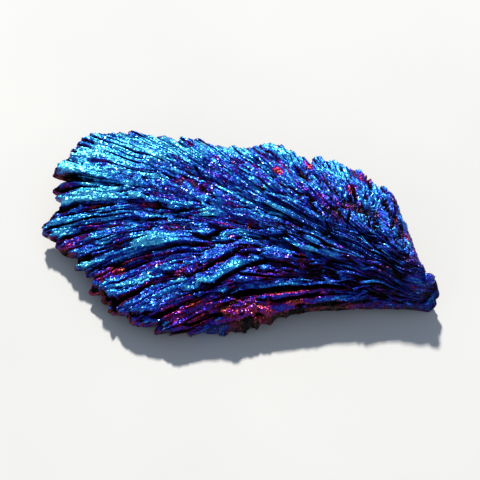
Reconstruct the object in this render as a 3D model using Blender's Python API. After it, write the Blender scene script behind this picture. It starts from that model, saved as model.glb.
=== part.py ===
"""A black tourmaline cluster: one wing-shaped spray of blades that fan out from a narrow root.

The shape is drawn with ribs, which are the flow lines of the crystals. Every rib is a Bezier curve from the
root to the rim, and the body is the skin over the ribs. Blades are swept along the same flow and fused to the
body, tier over tier like shingles, so that the whole cluster is one closed solid with flat facets.

Lengths are in millimetres here and become metres when a mesh is made. +X runs along the wing towards its
root, +Y is the far edge and +Z is up. The origin is the middle of the bounding box, on the resting face.
"""

import random
from math import cos, pi, radians, sin

import bmesh
import bpy
import numpy as np
from mathutils import Vector

MM = 0.001
NODE = "crystal_cluster"
SEED = 9

# Ribs from the far right edge (t = 0), round the tip of the wing, to the near edge (t = 1):
# rim point (x, y, z), heading at the root and at the rim in degrees from -X towards +Y, crest height.
RIBS = (
    ((22.5, 3.0, 7.5), 66, 66, 7.4),
    ((19.6, 4.9, 8.0), 46, 72, 8.7),
    ((14.7, 7.1, 9.0), 37, 74, 9.8),
    ((6.5, 9.6, 9.6), 30, 58, 10.6),
    ((-1.2, 9.4, 10.0), 26, 49, 10.9),
    ((-7.4, 10.7, 10.0), 23, 43, 11.0),
    ((-14.5, 12.2, 9.2), 21, 36, 11.0),
    ((-21.8, 12.6, 8.4), 20, 28, 10.8),
    ((-26.3, 9.4, 7.8), 19, 18, 10.5),
    ((-28.1, 6.2, 7.0), 18, 8, 10.2),
    ((-27.7, 3.4, 6.0), 17, 0, 10.0),
    ((-29.1, 0.6, 4.6), 17, -6, 9.8),
    ((-30.4, -1.1, 3.2), 17, -9, 9.6),
    ((-27.3, -4.6, 3.0), 17, -15, 9.6),
    ((-23.9, -8.5, 2.9), 17, -21, 9.8),
    ((-20.5, -13.3, 3.0), 17, -25, 10.0),
    ((-16.6, -17.1, 3.0), 15, -25, 9.2),
    ((-11.6, -18.4, 2.8), 10, -22, 7.0),
    ((-8.2, -18.6, 2.2), 2, -15, 4.2),
)
ROOT_FAR = (27.7, -11.3, 7.5)
ROOT_NEAR = (28.8, -13.9, 2.4)
ROOT_CROWN = 1.6  # how far the root's line rises between its two ends
ROOT_HANDLE = 0.42
RIM_HANDLE = 0.34

# Bites out of the rim: t, half width in t, depth as a share of the rib.
NOTCHES = (
    (0.048, 0.013, 0.08),
    (0.150, 0.016, 0.09),
    (0.238, 0.012, 0.04),
    (0.312, 0.018, 0.07),
    (0.515, 0.014, 0.04),
    (0.563, 0.014, 0.05),
    (0.598, 0.012, 0.04),
    (0.752, 0.012, 0.04),
    (0.788, 0.016, 0.04),
    (0.870, 0.013, 0.04),
    (0.915, 0.013, 0.04),
)

BODY_COLUMNS = 40
BODY_ROWS = 9
BODY_REACH = 0.94  # the body ends inside the rim, and the rim blades reach the rest of the way
FLUTE = 0.3  # how far the body's columns stand above or below its skin
EDGE_THICKNESS = 1.4
CORE_THICKNESS = 12.4  # more than the body's height, so that its belly is cut flat where it rests
ROOT_DEPTH = 0.65  # the share of that depth at the root
LEAST_CLEARANCE = 0.3  # of a blade above the plane that the belly rests on
MOST_CLEARANCE = 0.6

RIM_BLADES = 40
TIERS = (  # end of the blades along the rib, how many, width, depth
    (0.34, 6, 1.8, 1.3),
    (0.50, 8, 2.2, 1.4),
    (0.66, 9, 2.4, 1.4),
    (0.80, 10, 2.6, 1.4),
)
UNDER_TIERS = (
    (0.40, 5, 2.2, 1.4),
    (0.62, 8, 3.2, 1.6),
    (0.86, 11, 3.0, 1.5),
)
UNDER_MARGIN = 0.07  # how far in t the under tiers stay off the two edges
# The boldest blades of the upper side: t at the start and at the free end, start, end, width, depth, lift of
# the free end.
BOLD_BLADES = (
    (0.015, 0.015, 0.18, 0.44, 1.5, 1.2, 0.3),
    (0.012, 0.012, 0.42, 0.70, 1.7, 1.2, 0.3),
    (0.020, 0.020, 0.66, 0.95, 1.9, 1.2, 0.3),
    (0.200, 0.200, 0.55, 0.84, 2.0, 1.3, 0.5),
    (0.370, 0.389, 0.69, 0.90, 2.6, 1.4, 0.6),
    (0.429, 0.429, 0.73, 0.94, 2.8, 1.4, 0.6),
    (0.499, 0.494, 0.77, 1.00, 3.0, 1.8, 1.0),
    (0.574, 0.576, 0.74, 0.98, 2.4, 1.4, 0.8),
    (0.613, 0.641, 0.72, 0.88, 1.9, 1.2, 0.6),
    (0.696, 0.667, 0.69, 0.97, 2.0, 1.4, 0.8),
    (0.723, 0.729, 0.74, 0.92, 1.9, 1.4, 0.8),
    (0.701, 0.686, 0.86, 1.00, 1.7, 1.3, 0.6),
    (0.764, 0.746, 0.80, 0.98, 1.7, 1.2, 0.6),
    (0.480, 0.650, 0.44, 0.59, 2.2, 1.3, 0.7),
    (0.570, 0.652, 0.60, 0.70, 1.6, 1.2, 0.6),
    (0.657, 0.795, 0.35, 0.58, 2.0, 1.4, 0.7),
    (0.777, 0.765, 0.57, 0.83, 2.9, 1.9, 1.2),
    (0.789, 0.846, 0.46, 0.69, 1.8, 1.4, 0.7),
    (0.841, 0.818, 0.77, 0.98, 1.8, 1.5, 0.9),
    (0.854, 0.834, 0.77, 0.98, 1.7, 1.4, 0.8),
    (0.828, 0.876, 0.47, 0.74, 1.8, 1.5, 0.9),
    (0.888, 0.871, 0.70, 0.96, 1.9, 1.5, 0.9),
    (0.907, 0.885, 0.70, 0.94, 1.6, 1.4, 0.8),
    (0.936, 0.936, 0.70, 0.83, 1.6, 1.2, 0.5),
    (0.951, 0.943, 0.78, 0.93, 1.7, 1.3, 0.5),
    (0.950, 0.950, 0.16, 0.58, 1.6, 1.3, 0.5),
    (0.985, 0.985, 0.12, 0.50, 1.5, 1.2, 0.3),
    (0.992, 0.992, 0.46, 0.96, 1.6, 1.2, 0.2),
)
# The blunt ends at the root, where the spray was broken off, in the same form.
ROOT_BLADES = (
    (0.080, 0.080, 0.12, -0.002, 2.0, 1.8, -0.5),
    (0.300, 0.300, 0.12, -0.012, 3.0, 2.6, -0.5),
    (0.500, 0.500, 0.12, 0.000, 2.2, 2.0, -0.6),
    (0.700, 0.700, 0.12, -0.012, 2.2, 2.0, -0.7),
    (0.900, 0.900, 0.12, -0.006, 2.2, 1.8, -0.8),
)

# A blade's section as (across, up) shares of its half width and of its depth: four facets over a keel.
SECTION = ((-1.0, 0.0), (-0.45, 0.45), (0.4, 0.5), (1.0, -0.05), (0.45, -0.5), (-0.5, -0.5))
# Along a blade: share of its length, of its full section and of the lift of its free end.
STATIONS = ((0.0, 0.5, -0.8), (0.35, 0.88, 0.0), (0.75, 1.0, 0.6), (1.0, 0.66, 1.0))


def smooth(x):
    """0 below 0, 1 above 1, with an easy curve between."""
    x = np.clip(x, 0.0, 1.0)
    return x * x * (3 - 2 * x)


def handle(point, heading, reach, height):
    """The Bezier handle at this reach from a rib's end."""
    turn = radians(heading)
    return np.array((point[0] - reach * cos(turn), point[1] + reach * sin(turn), height))


def rib_controls():
    """The four Bezier points of every rib."""
    controls = []
    for i, (rim, root_heading, rim_heading, crest) in enumerate(RIBS):
        share = i / (len(RIBS) - 1)
        start = np.array(ROOT_FAR) * (1 - share) + np.array(ROOT_NEAR) * share
        start[2] += ROOT_CROWN * sin(pi * share)
        end = np.array(rim)
        length = np.linalg.norm((end - start)[:2])
        controls.append((start, handle(start, root_heading, length * ROOT_HANDLE, crest),
                         handle(end, rim_heading, -length * RIM_HANDLE, crest), end))
    return np.array(controls)


CONTROLS = rib_controls()


def flow(t, u):
    """The point a share u of the way along the flow line t, on the cluster's upper skin."""
    t, u = np.broadcast_arrays(np.asarray(t, float), np.asarray(u, float))
    place = np.clip(t, 0, 1) * (len(CONTROLS) - 1)
    i = np.clip(np.floor(place).astype(int), 0, len(CONTROLS) - 2)
    f = (place - i)[..., None, None]
    before, here = CONTROLS[np.maximum(i - 1, 0)], CONTROLS[i]
    after, beyond = CONTROLS[i + 1], CONTROLS[np.minimum(i + 2, len(CONTROLS) - 1)]
    c = here + 0.5 * f * (after - before
                          + f * (2 * before - 5 * here + 4 * after - beyond
                                 + f * (3 * here - before - 3 * after + beyond)))
    u = u[..., None]
    v = 1 - u
    return (v**3 * c[..., 0, :] + 3 * v * v * u * c[..., 1, :]
            + 3 * v * u * u * c[..., 2, :] + u**3 * c[..., 3, :])


def thickness(t, u):
    """The cluster's depth below its upper skin: thin at the rim, deep in the middle, a stump at the root."""
    across = np.sin(pi * np.clip(t, 0, 1)) ** 0.7
    along = (ROOT_DEPTH + (1 - ROOT_DEPTH) * smooth(u / 0.4)) * (1 - smooth((u - 0.42) / 0.6))
    return EDGE_THICKNESS + (CORE_THICKNESS - EDGE_THICKNESS) * across * along


def underside(t, u):
    """The point below flow(t, u) on the lower skin, which is flat where the cluster rests."""
    point = flow(t, u)
    point[..., 2] = np.maximum(point[..., 2] - thickness(t, u), 0.0)
    return point


def notch(t):
    """How much shorter than its full length the rib at t is."""
    return sum(depth * (1 - smooth(abs(t - at) / half)) for at, half, depth in NOTCHES)


def axes(t, u, skin):
    """Unit vectors along the flow, across it and out of the skin."""
    step = 0.01
    along = skin(t, u + step) - skin(t, u - step)
    aside = skin(min(t + step, 1.0), u) - skin(max(t - step, 0.0), u)
    along /= np.linalg.norm(along)
    out = np.cross(aside, along)
    out /= np.linalg.norm(out)
    if (out[2] < 0) != (skin is underside):
        out = -out
    return along, np.cross(along, out), out


def rim_spread(count):
    """Flow lines spaced evenly along the rim, rather than evenly in t."""
    t = np.linspace(0, 1, 400)
    rim = flow(t, np.ones_like(t))
    length = np.concatenate(([0], np.cumsum(np.linalg.norm(np.diff(rim, axis=0), axis=1))))
    return np.interp(np.linspace(0, length[-1], count), length, t)


def mesh_object(name, points, faces):
    mesh = bpy.data.meshes.new(name)
    mesh.from_pydata([tuple(p * MM) for p in points], [], faces)
    made = bpy.data.objects.new(name, mesh)
    bpy.context.scene.collection.objects.link(made)
    shell = bmesh.new()
    shell.from_mesh(mesh)
    bmesh.ops.recalc_face_normals(shell, faces=shell.faces)
    shell.to_mesh(mesh)
    shell.free()
    return made


def body(dice):
    """The fluted skin over the ribs, closed below by the underside."""
    rows = np.linspace(0, BODY_REACH, BODY_ROWS)
    upper, lower = [], []
    for t in rim_spread(BODY_COLUMNS):
        above, below = dice.uniform(-FLUTE, FLUTE), dice.uniform(0, FLUTE)
        for u in rows * (1 - notch(t)):
            top, bottom = flow(t, u), underside(t, u)
            top[2] += above * smooth(u / 0.3)
            bottom[2] += below * min(1.0, bottom[2])
            upper.append(top)
            lower.append(bottom)
    count = len(upper)
    last = (BODY_COLUMNS - 1) * BODY_ROWS
    end = BODY_ROWS - 1
    faces = []
    for a in range(0, last, BODY_ROWS):
        b = a + BODY_ROWS
        for i in range(end):
            faces.append((a + i, a + i + 1, b + i + 1, b + i))
            faces.append((count + a + i, count + b + i, count + b + i + 1, count + a + i + 1))
        faces.append((a, b, count + b, count + a))
        faces.append((a + end, count + a + end, count + b + end, b + end))
    for i in range(end):
        faces.append((i, count + i, count + i + 1, i + 1))
        faces.append((last + i, last + i + 1, count + last + i + 1, count + last + i))
    return mesh_object(NODE, upper + lower, faces)


def blade(name, t, end_t, start, end, width, depth, lift, roll, slant, clearance, skin):
    """One crystal swept along the flow from t to end_t. Its start is sunk in the body and its free end is a
    slanted break."""
    points = []
    for share, swell, rise in STATIONS:
        at, u = t + (end_t - t) * share, start + (end - start) * share
        along, across, out = axes(at, u, skin)
        across = across * cos(roll) + out * sin(roll)
        middle = skin(at, u) + out * (lift if rise > 0 else depth) * rise
        ring = []
        for side, up in SECTION:
            point = middle + across * side * width / 2 * swell + out * up * depth * swell
            if share == 1.0:
                point = point + along * slant * side
            ring.append(point)
        ring = np.array(ring)
        ring[:, 2] += max(clearance - ring[:, 2].min(), 0.0)
        points.extend(ring)
    ring, last = len(SECTION), (len(STATIONS) - 1) * len(SECTION)
    faces = [tuple(range(ring)), tuple(range(last, last + ring))]
    for i in range(0, last, ring):
        for k in range(ring):
            a, b = i + k, i + (k + 1) % ring
            faces.append((a, b, b + ring, a + ring))
    return mesh_object(name, points, faces)


def rim_lean(t):
    """How far the rim runs on along the flow for each step across it, so that blades end in line with it."""
    along, across, _ = axes(t, 1.0, flow)
    rim = flow(min(t + 0.02, 1.0), 1.0) - flow(max(t - 0.02, 0.0), 1.0)
    return float(np.clip(rim @ along / (rim @ across), -0.8, 0.8))


def all_blades(dice):
    """Blades in the order: rim, root, bold, upper tiers, under tiers."""
    made = []

    def add(t, end_t, start, end, width, depth, lift, skin=flow, lean=0.0):
        roll = radians(dice.uniform(-14, 14))
        slant = lean * width / 2 + dice.uniform(-0.5, 0.5)
        clearance = dice.uniform(LEAST_CLEARANCE, MOST_CLEARANCE)
        name = f"blade_{len(made):03d}"
        made.append(blade(name, t, end_t, start, end, width, depth, lift, roll, slant, clearance, skin))

    def tier(end, count, width, depth, skin, margin):
        for i in range(count):
            t = margin + (1 - 2 * margin) * (i + dice.uniform(0.2, 0.8)) / count
            stop = end + dice.uniform(-0.06, 0.06)
            start = stop - dice.uniform(0.22, 0.3)
            add(t, t, start, stop, width * dice.uniform(0.8, 1.25), depth, dice.uniform(0.1, 0.5), skin)

    for i, t in enumerate(rim_spread(RIM_BLADES + 2)[1:-1]):
        reach = 1.0 + dice.uniform(-0.02, 0.01) - notch(t)
        start = reach - dice.uniform(0.25, 0.4)
        width = dice.uniform(3.0, 4.2)
        add(t, t, start, reach, width, dice.uniform(1.2, 1.7), 0.45 * (i % 2) - 0.6, lean=rim_lean(t))
    for bold in ROOT_BLADES + BOLD_BLADES:
        add(*bold)
    for end, count, width, depth in TIERS:
        tier(end, count, width, depth, flow, 0.0)
    for end, count, width, depth in UNDER_TIERS:
        tier(end, count, width, depth, underside, UNDER_MARGIN)
    return made


def centre(objects):
    """Moves the meshes so that the origin is under the middle of their common box, on the resting face."""
    corners = np.array([v.co for o in objects for v in o.data.vertices])
    low, high = corners.min(axis=0), corners.max(axis=0)
    shift = Vector((-(low[0] + high[0]) / 2, -(low[1] + high[1]) / 2, -low[2]))
    for o in objects:
        for v in o.data.vertices:
            v.co += shift


def fuse(main, blades):
    """Joins the blades to the body in one closed solid. Where blades nearly coincide, the exact solver leaves
    flakes thinner than a micron, so the join is made with the manifold solver."""
    tools = bpy.data.collections.new("blades")
    bpy.context.scene.collection.children.link(tools)
    for o in blades:
        bpy.context.scene.collection.objects.unlink(o)
        tools.objects.link(o)
    union = main.modifiers.new("fuse_blades", "BOOLEAN")
    union.operation = "UNION"
    union.operand_type = "COLLECTION"
    union.collection = tools
    union.solver = "MANIFOLD"
    graph = bpy.context.evaluated_depsgraph_get()
    fused = bpy.data.meshes.new_from_object(main.evaluated_get(graph))
    main.modifiers.clear()
    for o in blades:
        bpy.data.objects.remove(o)
    bpy.data.collections.remove(tools)
    main.data = outer_shell(fused)


def outer_shell(mesh):
    """Keeps the outside of the solid only, so that a pocket closed in by crossing blades is solid crystal."""
    solid = bmesh.new()
    solid.from_mesh(mesh)
    bmesh.ops.triangulate(solid, faces=solid.faces)
    left = set(solid.faces)
    shells = []
    while left:
        reached = [left.pop()]
        for face in reached:
            for edge in face.edges:
                if len(edge.link_faces) != 2:
                    continue  # two shells touch here
                for other in edge.link_faces:
                    if other in left:
                        left.remove(other)
                        reached.append(other)
        shells.append(reached)
    shells.sort(key=len)
    inner = [face for shell in shells[:-1] for face in shell]
    bmesh.ops.delete(solid, geom=inner, context="FACES")
    solid.to_mesh(mesh)
    solid.free()
    return mesh


def tourmaline():
    material = bpy.data.materials.new("coated_tourmaline")
    material.use_nodes = True
    shader = material.node_tree.nodes["Principled BSDF"]
    shader.inputs["Base Color"].default_value = (0.02, 0.12, 0.55, 1.0)
    shader.inputs["Metallic"].default_value = 0.85
    shader.inputs["Roughness"].default_value = 0.38
    return material


def main():
    for o in list(bpy.data.objects):
        bpy.data.objects.remove(o)
    dice = random.Random(SEED)
    cluster = body(dice)
    blades = all_blades(dice)
    centre([cluster, *blades])
    fuse(cluster, blades)
    cluster.data.materials.append(tourmaline())


main()
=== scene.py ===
"""Dresses the black tourmaline cluster: crystals under an iridescent metal coating.

The frame's solid gives the place and the size. The form is drawn again from the same ribs and blades, finer:
its two skins are grids of heights, on which thousands of crystals are laid over each other, and loose needles
stand on them. Every point carries three attributes. "film" is the thickness of the coating, which sets its
colour, "cover" is how much of the crystal it covers, and "grain" runs across and along the crystal in
millimetres, for the striae. "film" and "cover" are also lowered in the hollows and gaps between crystals and
raised on what stands proud, so they carry painted shade and painted highlight besides the coating itself.
"""
import random
from math import cos, pi, radians, sin

import bpy
import numpy as np
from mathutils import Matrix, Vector


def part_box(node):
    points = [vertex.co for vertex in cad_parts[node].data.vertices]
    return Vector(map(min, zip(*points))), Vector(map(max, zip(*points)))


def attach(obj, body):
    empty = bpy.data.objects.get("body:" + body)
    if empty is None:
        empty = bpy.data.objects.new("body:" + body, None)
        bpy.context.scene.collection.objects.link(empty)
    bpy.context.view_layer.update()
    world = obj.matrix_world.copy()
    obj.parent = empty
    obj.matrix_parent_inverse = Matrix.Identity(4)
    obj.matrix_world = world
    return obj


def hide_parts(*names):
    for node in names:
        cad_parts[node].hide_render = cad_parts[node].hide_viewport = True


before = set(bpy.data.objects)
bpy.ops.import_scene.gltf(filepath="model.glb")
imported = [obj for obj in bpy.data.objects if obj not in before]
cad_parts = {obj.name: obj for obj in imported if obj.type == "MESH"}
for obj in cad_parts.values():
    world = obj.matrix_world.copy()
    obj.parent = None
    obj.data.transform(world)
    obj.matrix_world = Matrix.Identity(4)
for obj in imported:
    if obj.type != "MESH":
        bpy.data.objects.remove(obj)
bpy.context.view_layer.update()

MM = 0.001
NODE = "crystal_cluster"
BODY = "root"
SEED = 9
rng = np.random.default_rng(SEED)

# --- The form, as in the solid. Lengths are in millimetres. ---

# Ribs from the far right edge (t = 0), round the tip of the wing, to the near edge (t = 1):
# rim point (x, y, z), heading at the root and at the rim in degrees from -X towards +Y, crest height.
RIBS = (
    ((22.5, 3.0, 7.5), 66, 66, 7.4),
    ((19.6, 4.9, 8.0), 46, 72, 8.7),
    ((14.7, 7.1, 9.0), 37, 74, 9.8),
    ((6.5, 9.6, 9.6), 30, 58, 10.6),
    ((-1.2, 9.4, 10.0), 26, 49, 10.9),
    ((-7.4, 10.7, 10.0), 23, 43, 11.0),
    ((-14.5, 12.2, 9.2), 21, 36, 11.0),
    ((-21.8, 12.6, 8.4), 20, 28, 10.8),
    ((-26.3, 9.4, 7.8), 19, 18, 10.5),
    ((-28.1, 6.2, 7.0), 18, 8, 10.2),
    ((-27.7, 3.4, 6.0), 17, 0, 10.0),
    ((-29.1, 0.6, 4.6), 17, -6, 9.8),
    ((-30.4, -1.1, 3.2), 17, -9, 9.6),
    ((-27.3, -4.6, 3.0), 17, -15, 9.6),
    ((-23.9, -8.5, 2.9), 17, -21, 9.8),
    ((-20.5, -13.3, 3.0), 17, -25, 10.0),
    ((-16.6, -17.1, 3.0), 15, -25, 9.2),
    ((-11.6, -18.4, 2.8), 10, -22, 7.0),
    ((-8.2, -18.6, 2.2), 2, -15, 4.2),
)
ROOT_FAR = (27.7, -11.3, 7.5)
ROOT_NEAR = (28.8, -13.9, 2.4)
ROOT_CROWN = 1.6  # how far the root's line rises between its two ends
ROOT_HANDLE = 0.42
RIM_HANDLE = 0.34

# Bites out of the rim: t, half width in t, depth as a share of the rib.
NOTCHES = (
    (0.048, 0.013, 0.08),
    (0.15, 0.016, 0.09),
    (0.238, 0.012, 0.04),
    (0.312, 0.018, 0.07),
    (0.515, 0.014, 0.04),
    (0.563, 0.014, 0.05),
    (0.598, 0.012, 0.04),
    (0.752, 0.012, 0.04),
    (0.788, 0.016, 0.04),
    (0.87, 0.013, 0.04),
    (0.915, 0.013, 0.04),
)

SOLID_COLUMNS = 40
BODY_REACH = 0.94
EDGE_THICKNESS = 1.4
CORE_THICKNESS = 12.4
ROOT_DEPTH = 0.65
LEAST_CLEARANCE = 0.3
MOST_CLEARANCE = 0.6

RIM_BLADES = 40
TIERS = (  # end of the blades along the rib, how many, width, depth
    (0.34, 6, 1.8, 1.3),
    (0.5, 8, 2.2, 1.4),
    (0.66, 9, 2.4, 1.4),
    (0.8, 10, 2.6, 1.4),
)
UNDER_TIERS = (
    (0.4, 5, 2.2, 1.4),
    (0.62, 8, 3.2, 1.6),
    (0.86, 11, 3.0, 1.5),
)
UNDER_MARGIN = 0.07
# The boldest blades of the upper side: t at the start and at the free end, start, end, width, depth, lift of
# the free end.
BOLD_BLADES = (
    (0.015, 0.015, 0.18, 0.44, 1.5, 1.2, 0.3),
    (0.012, 0.012, 0.42, 0.7, 1.7, 1.2, 0.3),
    (0.02, 0.02, 0.66, 0.95, 1.9, 1.2, 0.3),
    (0.2, 0.2, 0.55, 0.84, 2.0, 1.3, 0.5),
    (0.37, 0.389, 0.69, 0.9, 2.6, 1.4, 0.6),
    (0.429, 0.429, 0.73, 0.94, 2.8, 1.4, 0.6),
    (0.499, 0.494, 0.77, 1.0, 3.0, 1.8, 1.0),
    (0.574, 0.576, 0.74, 0.98, 2.4, 1.4, 0.8),
    (0.613, 0.641, 0.72, 0.88, 1.9, 1.2, 0.6),
    (0.696, 0.667, 0.69, 0.97, 2.0, 1.4, 0.8),
    (0.723, 0.729, 0.74, 0.92, 1.9, 1.4, 0.8),
    (0.701, 0.686, 0.86, 1.0, 1.7, 1.3, 0.6),
    (0.764, 0.746, 0.8, 0.98, 1.7, 1.2, 0.6),
    (0.48, 0.65, 0.44, 0.59, 2.2, 1.3, 0.7),
    (0.57, 0.652, 0.6, 0.7, 1.6, 1.2, 0.6),
    (0.657, 0.795, 0.35, 0.58, 2.0, 1.4, 0.7),
    (0.777, 0.765, 0.57, 0.83, 2.9, 1.9, 1.2),
    (0.789, 0.846, 0.46, 0.69, 1.8, 1.4, 0.7),
    (0.841, 0.818, 0.77, 0.98, 1.8, 1.5, 0.9),
    (0.854, 0.834, 0.77, 0.98, 1.7, 1.4, 0.8),
    (0.838, 0.886, 0.47, 0.74, 1.8, 1.5, 0.9),
    (0.888, 0.871, 0.7, 0.96, 1.9, 1.5, 0.9),
    (0.907, 0.885, 0.7, 0.94, 1.6, 1.4, 0.8),
    (0.936, 0.936, 0.7, 0.83, 1.6, 1.2, 0.5),
    (0.951, 0.943, 0.78, 0.93, 1.7, 1.3, 0.5),
    (0.95, 0.95, 0.16, 0.58, 1.6, 1.3, 0.5),
    (0.985, 0.985, 0.12, 0.5, 1.5, 1.2, 0.3),
    (0.992, 0.992, 0.46, 0.96, 1.6, 1.2, 0.2),
)
# The blunt ends at the root, where the spray was broken off, in the same form.
ROOT_BLADES = (
    (0.08, 0.08, 0.12, -0.002, 2.0, 1.8, -0.5),
    (0.3, 0.3, 0.12, -0.012, 3.0, 2.6, -0.5),
    (0.5, 0.5, 0.12, 0.0, 2.2, 2.0, -0.6),
    (0.7, 0.7, 0.12, -0.012, 2.2, 2.0, -0.7),
    (0.9, 0.9, 0.12, -0.006, 2.2, 1.8, -0.8),
)
SECTION = ((-1.0, 0.0), (-0.45, 0.45), (0.4, 0.5), (1.0, -0.05), (0.45, -0.5), (-0.5, -0.5))
STATIONS = ((0.0, 0.5, -0.8), (0.35, 0.88, 0.0), (0.75, 1.0, 0.6), (1.0, 0.66, 1.0))
STEP = 0.01  # of t or u, to find the ways along and across a skin
FINE_STEP = 0.004
MOST_LEAN = 0.8  # of the ends of the rim blades


def smooth(x):
    """0 below 0, 1 above 1, with an easy curve between."""
    x = np.clip(x, 0.0, 1.0)
    return x * x * (3 - 2 * x)


def mix(first, second, share):
    """The value a share of the way from the first to the second."""
    return first + (second - first) * share


def unit(vectors):
    return vectors / np.linalg.norm(vectors, axis=-1, keepdims=True)


def handle(point, heading, reach, height):
    """The Bezier handle at this reach from a rib's end."""
    turn = radians(heading)
    return np.array((point[0] - reach * cos(turn), point[1] + reach * sin(turn), height))


def rib_controls():
    """The four Bezier points of every rib."""
    controls = []
    for i, (rim, root_heading, rim_heading, crest) in enumerate(RIBS):
        share = i / (len(RIBS) - 1)
        start = np.array(ROOT_FAR) * (1 - share) + np.array(ROOT_NEAR) * share
        start[2] += ROOT_CROWN * sin(pi * share)
        end = np.array(rim)
        length = np.linalg.norm((end - start)[:2])
        controls.append((start, handle(start, root_heading, length * ROOT_HANDLE, crest),
                         handle(end, rim_heading, -length * RIM_HANDLE, crest), end))
    return np.array(controls)


CONTROLS = rib_controls()


def flow(t, u):
    """The point a share u of the way along the flow line t, on the cluster's upper skin."""
    t, u = np.broadcast_arrays(np.asarray(t, float), np.asarray(u, float))
    place = np.clip(t, 0, 1) * (len(CONTROLS) - 1)
    i = np.clip(np.floor(place).astype(int), 0, len(CONTROLS) - 2)
    f = (place - i)[..., None, None]
    before, here = CONTROLS[np.maximum(i - 1, 0)], CONTROLS[i]
    after, beyond = CONTROLS[i + 1], CONTROLS[np.minimum(i + 2, len(CONTROLS) - 1)]
    c = here + 0.5 * f * (after - before
                          + f * (2 * before - 5 * here + 4 * after - beyond
                                 + f * (3 * here - before - 3 * after + beyond)))
    u = u[..., None]
    v = 1 - u
    return (v**3 * c[..., 0, :] + 3 * v * v * u * c[..., 1, :]
            + 3 * v * u * u * c[..., 2, :] + u**3 * c[..., 3, :])


def thickness(t, u):
    """The cluster's depth below its upper skin: thin at the rim, deep in the middle, a stump at the root."""
    across = np.sin(pi * np.clip(t, 0, 1)) ** 0.7
    along = (ROOT_DEPTH + (1 - ROOT_DEPTH) * smooth(u / 0.4)) * (1 - smooth((u - 0.42) / 0.6))
    return EDGE_THICKNESS + (CORE_THICKNESS - EDGE_THICKNESS) * across * along


def underside(t, u):
    """The point below flow(t, u) on the lower skin, which is flat where the cluster rests."""
    point = flow(t, u)
    point[..., 2] = np.maximum(point[..., 2] - thickness(t, u), 0.0)
    return point


def beside(skin, t, u, step):
    """How far the skin runs on across the flow, from a step of t before a place to a step after it."""
    return skin(np.minimum(t + step, 1), u) - skin(np.maximum(t - step, 0), u)


def notch(t):
    """How much shorter than its full length the rib at t is."""
    return sum(depth * (1 - smooth(abs(t - at) / half)) for at, half, depth in NOTCHES)


def axes(t, u, skin):
    """Unit vectors along the flow, across it and out of the skin."""
    along = unit(skin(t, u + STEP) - skin(t, u - STEP))
    out = unit(np.cross(beside(skin, t, u, STEP), along))
    out = np.where((out[..., 2:] < 0) != (skin is underside), -out, out)
    return along, np.cross(along, out), out


def run_along(line):
    """The distance along a line of points, at each of them."""
    return np.concatenate(([0], np.cumsum(np.linalg.norm(np.diff(line, axis=0), axis=1))))


def rim_spread(count):
    """Flow lines spaced evenly along the rim, rather than evenly in t."""
    t = np.linspace(0, 1, 400)
    run = run_along(flow(t, 1.0))
    return np.interp(np.linspace(0, run[-1], count), run, t)


def rim_lean(t):
    """How far the rim runs on along the flow for each step across it, so that blades end in line with it."""
    along, across, _ = axes(t, 1.0, flow)
    rim = beside(flow, t, 1.0, 2 * STEP)
    return float(np.clip(rim @ along / (rim @ across), -MOST_LEAN, MOST_LEAN))


def solid_blades(dice):
    """The solid's blades, drawn in its own order: t, end_t, start, end, width, depth, lift, roll, slant,
    clearance, skin."""
    blades = []

    def add(t, end_t, start, end, width, depth, lift, skin=flow, lean=0.0):
        roll = radians(dice.uniform(-14, 14))
        slant = lean * width / 2 + dice.uniform(-0.5, 0.5)
        clearance = dice.uniform(LEAST_CLEARANCE, MOST_CLEARANCE)
        blades.append((t, end_t, start, end, width, depth, lift, roll, slant, clearance, skin))

    for i, t in enumerate(rim_spread(RIM_BLADES + 2)[1:-1]):
        end = 1.0 + dice.uniform(-0.02, 0.01) - notch(t)
        start = end - dice.uniform(0.25, 0.4)
        width = dice.uniform(3.0, 4.2)
        add(t, t, start, end, width, dice.uniform(1.2, 1.7), 0.45 * (i % 2) - 0.6, lean=rim_lean(t))
    for bold in ROOT_BLADES + BOLD_BLADES:
        add(*bold)
    for skin, margin, tiers in ((flow, 0.0, TIERS), (underside, UNDER_MARGIN, UNDER_TIERS)):
        for mean_end, count, width, depth in tiers:
            for i in range(count):
                t = margin + (1 - 2 * margin) * (i + dice.uniform(0.2, 0.8)) / count
                end = mean_end + dice.uniform(-0.06, 0.06)
                start = end - dice.uniform(0.22, 0.3)
                add(t, t, start, end, width * dice.uniform(0.8, 1.25), depth, dice.uniform(0.1, 0.5), skin)
    return blades


def blade_rings(blade):
    """The points of one of the solid's blades, ring by ring."""
    t, end_t, start, end, width, depth, lift, roll, slant, clearance, skin = blade
    rings = []
    for share, swell, rise in STATIONS:
        at, u = mix(t, end_t, share), mix(start, end, share)
        along, across, out = axes(at, u, skin)
        across = across * cos(roll) + out * sin(roll)
        middle = skin(at, u) + out * (lift if rise > 0 else depth) * rise
        rings.append([middle + (across * side * width / 2 + out * up * depth) * swell
                      + along * slant * side * (share == 1.0) for side, up in SECTION])
    rings = np.array(rings)
    rings[..., 2] += np.maximum(clearance - rings[..., 2].min(axis=1, keepdims=True), 0)
    return rings


dice = random.Random(SEED)
for _ in range(2 * SOLID_COLUMNS):  # the flutes of the solid's body, which come before its blades
    dice.random()
BLADES = solid_blades(dice)
BOLD_START = RIM_BLADES + len(ROOT_BLADES)
BOLD_END = BOLD_START + len(BOLD_BLADES)
corners = np.concatenate([blade_rings(blade).reshape(-1, 3) for blade in BLADES])
TOP = corners[:, 2].max()
# From the form's own origin to the frame's. Both have the floor at 0.
SHIFT = np.array(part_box(NODE)[0]) / MM - corners.min(axis=0) * (1, 1, 0)
RIB_LENGTH = np.linalg.norm(np.diff(flow(np.linspace(0, 1, 60)[:, None], np.linspace(0, 1, 30)), axis=1),
                            axis=2).sum(axis=1)


def rib_length(t):
    """The length of the flow line t, in millimetres."""
    return np.interp(t, np.linspace(0, 1, len(RIB_LENGTH)), RIB_LENGTH)


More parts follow.
